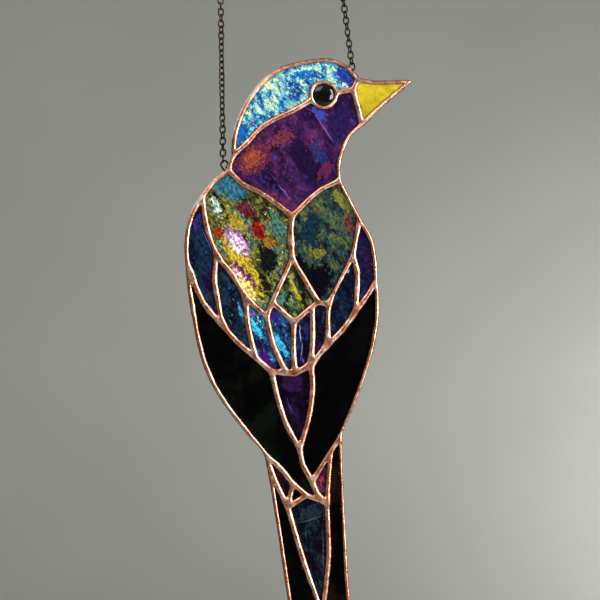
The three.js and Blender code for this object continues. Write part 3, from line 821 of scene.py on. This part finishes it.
# Each pane: the record's slot, its ripple's height and size in millimetres, and its glass.
GLASS = {
    "crown_pane": ("sky_glass", 0.05, 5, dict(
        ground=[(14, 56, 120), (30, 108, 176), (66, 166, 200), (146, 208, 188), (214, 242, 184)], size=5,
        spread=0.11,
        patches=[(69, -56, 5, 8, -40, (36, 60, 150), 0.75), (10, -90, 3.5, 9, 65, (24, 96, 176), 0.7),
                 (45, -55, 3, 12, 12, (30, 110, 190), 0.6)],
        flecks=[((20, 66, 150), 0.5, 2.0, 1.6, 0.8), ((190, 240, 235), 0.36, 1.3, 1.5, 0.8),
                ((222, 232, 130), 0.16, 2.4, 1.4, 0.8)], contrast=0.5, lean=-50)),
    "neck_pane": ("purple_glass", 0.05, 9, dict(
        ground=[(22, 9, 38), (36, 17, 56), (54, 25, 72), (72, 32, 76), (92, 40, 78)], size=13, detail=4,
        patches=[(66, -82, 9, 15, 70, (36, 24, 76), 0.6), (48, -104, 7, 15, -55, (26, 14, 48), 0.8),
                 (18, -102, 9, 15, 45, (92, 34, 62), 0.7, 5),
                 (17, -102, 9, 14, 45, (156, 74, 42), 0.36, 1.1),
                 (33, -90, 6, 15, 25, (120, 52, 60), 0.42, 1.6),
                 (54, -98, 6, 12, -55, (28, 44, 98), 0.42, 1.8),
                 (57, -108, 5, 8, 45, (92, 34, 66), 0.6, 3), (54, -76, 4, 8, -40, (54, 70, 170), 0.5, 2)],
        flecks=[((60, 54, 140), 0.34, 3.0, 1.4, 0.5), ((18, 8, 32), 0.42, 4.0, 1.3, 0.55),
                ((150, 60, 44), 0.22, 1.8, 1.5, 0.6)],
        # Painted highlight and shade: the pale lines are the lit crests of ridges in the glass, and the dark
        # lines beside them are their shaded grooves; all of them also raise the bump.
        lines=[(56.4, -83.4, 0.55, 12.5, -56, (124, 84, 170), 0.8),
               (54.8, -83.8, 0.4, 10, -56, (20, 10, 44), 0.8),
               (34.5, -119.5, 0.5, 6.5, -50, (110, 100, 200), 0.75),
               (36, -118.6, 0.35, 5, -50, (24, 14, 60), 0.9),
               (29, -112, 0.35, 5, -50, (86, 60, 140), 0.5)], blotch=4.5, contrast=0.34, bump=0.25)),
    "beak_pane": ("yellow_glass", 0.03, 10, dict(
        ground=[(176, 152, 20), (202, 178, 32), (220, 197, 50)], size=16, contrast=0.07, rough=0.3,
        bump=0.1,
        lines=[(94, -61.5, 0.25, 5, -10, (226, 206, 70), 0.6)])),
    "left_mantle_pane": ("moss_glass", 0.09, 6, dict(
        ground=[(26, 32, 18), (66, 76, 34), (118, 112, 38), (92, 118, 84), (56, 96, 96)], size=8,
        spread=0.1,
        patches=[(4, -117, 7, 12, -30, (50, 108, 126), 0.85),
                 # Partly the glass's iridised colour and partly a painted highlight: the pale mint speckles.
                 (-2.5, -128, 3, 9, -65, (196, 230, 208), 0.5, 1.6),
                 (31, -138, 4.5, 12, -65, (66, 110, 100), 0.75),
                 (14, -130, 5, 8, -30, (96, 36, 46), 0.62, 2.2),
                 (8, -136, 5, 10, -40, (170, 146, 40), 0.6, 2.4),
                 (26, -147, 4, 7, -40, (160, 104, 28), 0.5, 1.8),
                 (20.5, -140, 5, 7, -55, (132, 18, 12), 0.66, 2),
                 (-1.5, -142, 3.4, 5, 20, (150, 50, 22), 0.8), (26, -157, 6, 10, -70, (12, 20, 10), 0.8),
                 (24, -170, 4, 11, -62, (28, 26, 12), 0.7), (12, -160, 6, 24, -58, (196, 168, 40), 0.75),
                 # Partly the glass's iridised colour and partly a painted highlight: the pink, near-white and
                 # pale yellow patches of the diagonal band, all but the purple one.
                 (9, -147, 6.5, 13, -50, (206, 130, 200), 0.55, 2),
                 (13, -166, 5, 16, -55, (104, 40, 96), 0.5, 2.2),
                 (8.5, -148, 5, 12, -52, (250, 232, 244), 0.38, 1.3),
                 (13, -172, 5, 14, -55, (252, 226, 120), 0.52, 1.8),
                 (9, -165, 3, 9, -52, (244, 200, 222), 0.42, 1.4)],
        # The last flecks, near-white and drawn out, are painted glints.
        flecks=[((206, 186, 56), 0.26, 2.0, 1.4, 0.8), ((92, 34, 54), 0.26, 2.0, 1.5, 0.7),
                ((22, 28, 12), 0.36, 2.4, 1.4, 0.75), ((232, 236, 200), 0.12, 1.2, 2.0, 0.9)],
        contrast=0.66, bump=0.5, lean=-58)),
    "right_mantle_pane": ("teal_glass", 0.07, 7, dict(
        ground=[(8, 20, 22), (20, 44, 48), (36, 66, 62), (70, 86, 50), (104, 106, 44)], size=7,
        spread=0.12,
        patches=[(49, -140, 7, 13, 80, (16, 44, 56), 0.72),
                 (67, -124, 5, 10, -40, (112, 114, 50), 0.62, 2.4),
                 (71, -137, 2.8, 10, -72, (106, 40, 44), 0.55, 1.8),
                 # Painted reflection: the near-black patches at z -168 and -160 are the dark room mirrored in
                 # the glass.
                 (60, -134, 4, 10, -60, (70, 92, 64), 0.55, 2), (53, -168, 9, 11, 80, (2, 6, 8), 0.85),
                 (44, -160, 4, 9, -60, (3, 9, 12), 0.75),
                 (54, -153, 3.5, 4.5, 20, (112, 106, 40), 0.8, 2.4)],
        flecks=[((104, 48, 30), 0.26, 1.8, 1.6, 0.7), ((8, 18, 22), 0.36, 2.2, 1.3, 0.7),
                ((120, 132, 92), 0.18, 1.4, 1.6, 0.6)], contrast=0.55, lean=-60)),
    "diamond_pane": ("teal_glass", 0.07, 5, dict(
        ground=[(8, 16, 6), (26, 36, 18), (50, 66, 42), (86, 104, 58), (140, 152, 80)], size=4,
        spread=0.12,
        patches=[(33, -179, 2.6, 7, 60, (70, 116, 108), 0.75),
                 (40.5, -173, 1.6, 11, -64, (176, 156, 50), 0.65),
                 (44, -170, 1.6, 9, -64, (16, 26, 12), 0.85)],
        flecks=[((200, 214, 130), 0.22, 1.4, 2.4, 0.8), ((12, 22, 12), 0.36, 2.0, 1.8, 0.7)],
        lines=[(38, -178.5, 0.9, 1.2, 0, (190, 190, 90), 0.9),
               (38, -178.5, 0.5, 0.8, 0, (4, 10, 6), 0.95)], lean=-62)),
    "left_shoulder_pane": ("indigo_glass", 0.04, 8, dict(
        ground=[(6, 7, 20), (11, 17, 36), (14, 34, 52), (20, 44, 66)], size=9,
        patches=[(-12, -136, 4, 8, 70, (46, 38, 104), 0.6), (-6, -184, 2.4, 6, -60, (110, 70, 170), 0.5),
                 (-12, -160, 4, 7, 80, (12, 44, 54), 0.5), (-8, -170, 4, 8, -70, (26, 14, 50), 0.6)],
        flecks=[((60, 66, 120), 0.16, 1.6, 1.6, 0.7), ((34, 20, 60), 0.34, 4, 1.4, 0.6)],
        lines=[(-7.5, -147, 0.3, 8, -68, (120, 140, 215), 0.85)])),
    "left_covert_pane_1": ("indigo_glass", 0.04, 6, dict(
        ground=[(6, 11, 26), (12, 27, 44), (18, 44, 60), (26, 62, 78)], size=6,
        patches=[(11, -186, 1.5, 8, -72, (70, 150, 190), 0.55), (2, -161, 3, 6, -70, (26, 18, 56), 0.8)],
        flecks=[((84, 150, 170), 0.2, 1.4, 1.5, 0.8), ((6, 10, 22), 0.36, 2.4, 1.4, 0.7)])),
    "left_covert_pane_2": ("blue_glass", 0.07, 5, dict(
        ground=[(14, 16, 44), (26, 44, 90), (36, 84, 130), (50, 124, 160)], size=5, spread=0.1,
        patches=[(18.5, -193.6, 2.2, 8, -52, (60, 196, 232), 0.85),
                 (16, -186, 2, 3, -50, (120, 80, 190), 0.7), (24, -211, 3.4, 6, -40, (62, 26, 112), 0.9),
                 (20, -203, 2, 7, -55, (20, 22, 58), 0.8)],
        # The first flecks, near-white, are painted glints.
        flecks=[((170, 240, 250), 0.24, 1.1, 2.0, 0.9), ((130, 70, 190), 0.22, 1.8, 1.6, 0.7),
                ((8, 12, 36), 0.38, 1.8, 1.6, 0.75)], bump=0.5, blotch=2.2)),
    "centre_covert_pane_1": ("blue_glass", 0.07, 5, dict(
        ground=[(8, 10, 38), (14, 30, 70), (22, 62, 110), (36, 104, 160)], size=5, spread=0.1,
        patches=[(33, -204, 2.4, 9, -57, (60, 176, 224), 0.8), (29, -188, 3, 5, -40, (44, 34, 120), 0.85),
                 (30.5, -207, 1.4, 8, -57, (100, 70, 200), 0.6)],
        # The first flecks, near-white, are painted glints.
        flecks=[((170, 230, 250), 0.2, 1.0, 2.2, 0.9), ((6, 8, 34), 0.38, 1.8, 1.8, 0.75)], bump=0.5,
        lean=-56, blotch=2.2)),
    "centre_covert_pane_2": ("indigo_glass", 0.05, 5, dict(
        ground=[(1, 2, 12), (6, 9, 28), (14, 24, 58), (22, 40, 84)], size=5,
        patches=[(48, -195, 2, 8, 80, (22, 36, 90), 0.6)],
        flecks=[((70, 96, 170), 0.18, 1.2, 2.2, 0.8)],
        lines=[(43.4, -197, 0.32, 6, -84, (150, 190, 240), 0.95),
               (44.2, -206.5, 0.3, 5, -96, (110, 140, 220), 0.9),
               (44.9, -212, 0.6, 2.5, -70, (90, 70, 180), 0.7)], bump=0.4)),
    "right_covert_pane_1": ("indigo_glass", 0.04, 6, dict(
        ground=[(2, 2, 12), (5, 9, 24), (11, 20, 40), (20, 26, 54)], size=6,
        patches=[(54, -205, 2.5, 5, 50, (44, 20, 60), 0.8), (57, -188, 2, 5, 80, (16, 44, 62), 0.7)],
        flecks=[((60, 90, 120), 0.14, 1.2, 1.6, 0.8)])),
    "right_covert_pane_2": ("indigo_glass", 0.04, 6, dict(
        ground=[(2, 3, 16), (5, 12, 30), (10, 26, 46), (18, 46, 66)], size=7,
        flecks=[((60, 110, 130), 0.14, 1.3, 1.6, 0.8)],
        lines=[(70.3, -163, 0.5, 1.5, 50, (225, 238, 245), 0.95)])),
    "right_shoulder_pane": ("indigo_glass", 0.04, 7, dict(
        ground=[(8, 5, 28), (12, 12, 42), (18, 17, 52), (28, 24, 62)], size=8,
        patches=[(78, -178, 2.6, 7, 60, (24, 44, 96), 0.7), (82, -160, 3, 6, 80, (40, 16, 56), 0.6)],
        flecks=[((66, 64, 120), 0.14, 1.5, 1.6, 0.7)])),
    "rump_pane": ("indigo_glass", 0.04, 8, dict(
        ground=[(2, 1, 4), (7, 4, 12), (16, 8, 26), (26, 12, 38)], size=7,
        patches=[(39, -224, 6, 7, 0, (40, 18, 56), 0.85), (40, -240, 4, 7, -70, (30, 14, 50), 0.5)],
        lines=[(37.5, -237, 0.6, 6, -72, (40, 56, 104), 0.6)], contrast=0.4)),
    "left_tail_triangle_pane": ("purple_glass", 0.03, 5, dict(
        ground=[(4, 0, 0), (18, 6, 6), (34, 15, 16)], size=4,
        flecks=[((74, 44, 46), 0.26, 1.5, 1.8, 0.6)], lean=-40)),
    "right_tail_triangle_pane": ("purple_glass", 0.05, 4, dict(
        ground=[(24, 8, 16), (64, 24, 46), (96, 38, 70), (140, 56, 84)], size=3,
        patches=[(55.5, -278, 1.2, 4, 80, (140, 36, 62), 0.7)],
        flecks=[((14, 6, 20), 0.4, 1.2, 1.3, 0.8), ((170, 110, 170), 0.2, 1.0, 1.3, 0.6)], bump=0.5)),
    "tail_quill_pane": ("indigo_glass", 0.05, 8, dict(
        ground=[(0, 1, 3), (3, 8, 12), (8, 24, 30), (18, 44, 50)], size=5,
        patches=[(49, -296, 5, 8, 20, (24, 42, 52), 0.75), (52, -340, 3, 12, -80, (14, 40, 52), 0.6)],
        flecks=[((52, 80, 86), 0.18, 1.8, 3.5, 0.7), ((3, 6, 12), 0.36, 3, 2.5, 0.7)],
        lines=[(49, -299.5, 0.4, 8, 16, (64, 96, 84), 0.7),
               (56.3, -322, 0.4, 22, -88, (30, 66, 96), 0.7)], lean=-82)),
}
BLACK = {                                        # each black pane, and the colour that drifts through it
    # The left wing's faint green is a painted highlight: a patchy glow of light on the black glass.
    "left_wing_pane": rgb(9, 14, 8), "right_wing_pane": rgb(5, 5, 6),
    "small_tail_triangle_pane": rgb(5, 6, 6), "left_tail_pane": rgb(5, 5, 6),
    "right_tail_pane": rgb(26, 14, 6),
}
BLACK_RIPPLE, BLACK_RIPPLE_SIZE = 0.03, 16


# ------------------------------------------------------------------ studio, in metres

def backdrop():
    """A pale round floor that turns up into a wall on all sides."""
    centre = middle("solder_seams")
    floor_z, radius, bend, height = centre.z - 0.75, 2.6, 0.6, 2.1
    floor_rings, bend_rings, sides = 8, 12, 96
    profile = [(0.02, floor_z)]
    profile += [(radius * i / floor_rings, floor_z) for i in range(1, floor_rings + 1)]
    for i in range(1, bend_rings + 1):
        a = math.pi / 2 * i / bend_rings
        profile.append((radius + bend * math.sin(a), floor_z + bend * (1 - math.cos(a))))
    profile.append((radius + bend, floor_z + height))
    verts = [(centre.x + r * c, centre.y + r * s, z) for r, z in profile for c, s in circle(sides)]
    faces = [*bands(len(profile), sides), tuple(range(sides))[::-1]]
    floor = smooth_mesh("studio_floor", verts, faces)
    paint = Paint("pale_wall")
    tone = paint.ramp(paint.noise(400, 2, 0.4), (0.3, rgb(182, 182, 175)), (0.7, rgb(187, 187, 180)))
    paint.shade(Base_Color=tone, Roughness=0.9)
    dress(floor, paint.material)


def add_object(name, data, place, away):
    """A light or camera that looks the other way from `away`."""
    made = bpy.data.objects.new(name, data)
    made.location = place
    made.rotation_euler = away.to_track_quat("Z", "Y").to_euler()
    bpy.context.scene.collection.objects.link(made)
    return made


def soft_light(name, place, width, height, watts, colour=(1, 1, 1), aim=(0, 0, 0)):
    """A soft rectangular light. Its place and what it is aimed at are measured from the panel."""
    light = bpy.data.lights.new(name, "AREA")
    light.shape = "RECTANGLE"
    light.size, light.size_y = width, height
    light.energy = watts
    light.color = colour
    lamp = add_object(name, light, middle("solder_seams") + Vector(place), Vector(place) - Vector(aim))
    lamp.visible_camera = False


def studio():
    """Light from a window on the right, weak fills, and a glow on the wall behind, low on the right."""
    soft_light("window_light", (1.15, -0.62, 0.36), 0.6, 1.2, 23, (1.0, 0.97, 0.93))
    soft_light("catch_light", (0.9, -0.95, 0.02), 0.2, 0.5, 6)
    soft_light("top_fill", (-0.55, -0.85, 1.1), 1.2, 0.9, 9.5, (0.96, 0.98, 1.0))
    soft_light("rear_fill", (-0.7, 1.3, 0.9), 1.0, 1.0, 14)
    soft_light("wall_light", (1.55, 2.1, -0.75), 0.6, 0.9, 26, aim=(1.1, 3.0, -0.5))
    world = bpy.data.worlds.new("studio_air")
    world.use_nodes = True
    air = world.node_tree.nodes["Background"]
    air.inputs["Color"].default_value = (0.9, 0.95, 1.0, 1)
    air.inputs["Strength"].default_value = 0.27
    bpy.context.scene.world = world
    bpy.context.scene.view_settings.view_transform = "Standard"


def camera():
    """Looks level at the panel from a little to its left, at the upper part of the bird."""
    data = bpy.data.cameras.new("camera")
    data.lens, data.sensor_width = 100, 36
    data.clip_start, data.clip_end = 0.05, 20
    seen = 330 * MM                              # width of the picture at the panel
    aim = Vector((43.6 * MM, PANEL_Y * MM, -178.8 * MM))
    azimuth = math.radians(-8.5)
    away = Vector((math.sin(azimuth), -math.cos(azimuth), 0))
    eye = add_object("camera", data, aim + away * (seen * data.lens / data.sensor_width), away)
    bpy.context.scene.camera = eye


# ------------------------------------------------------------------ the whole

metal, wire = copper(), dark_wire()
dress(solder_piece(), metal)
dress(solder_tacks(), metal)
dress(gem_piece(), black_glass("gem_black", shine=0.5))
for seed, (node, (slot, ripple, ripple_size, look)) in enumerate(GLASS.items()):
    glass = art_glass(node.replace("_pane", "_glass"), **look)
    dress(pane_piece(node, ripple, ripple_size, seed), glass)
for seed, (node, drift_and_painted_glow) in enumerate(BLACK.items(), start=40):
    glass = black_glass(node.replace("_pane", "_black"), drift_and_painted_glow)
    dress(pane_piece(node, BLACK_RIPPLE, BLACK_RIPPLE_SIZE, seed), glass)
for side in RUNS:
    for make in (chain_piece, ring_piece, loop_piece):
        dress(make(side), wire)
backdrop()
studio()
camera()
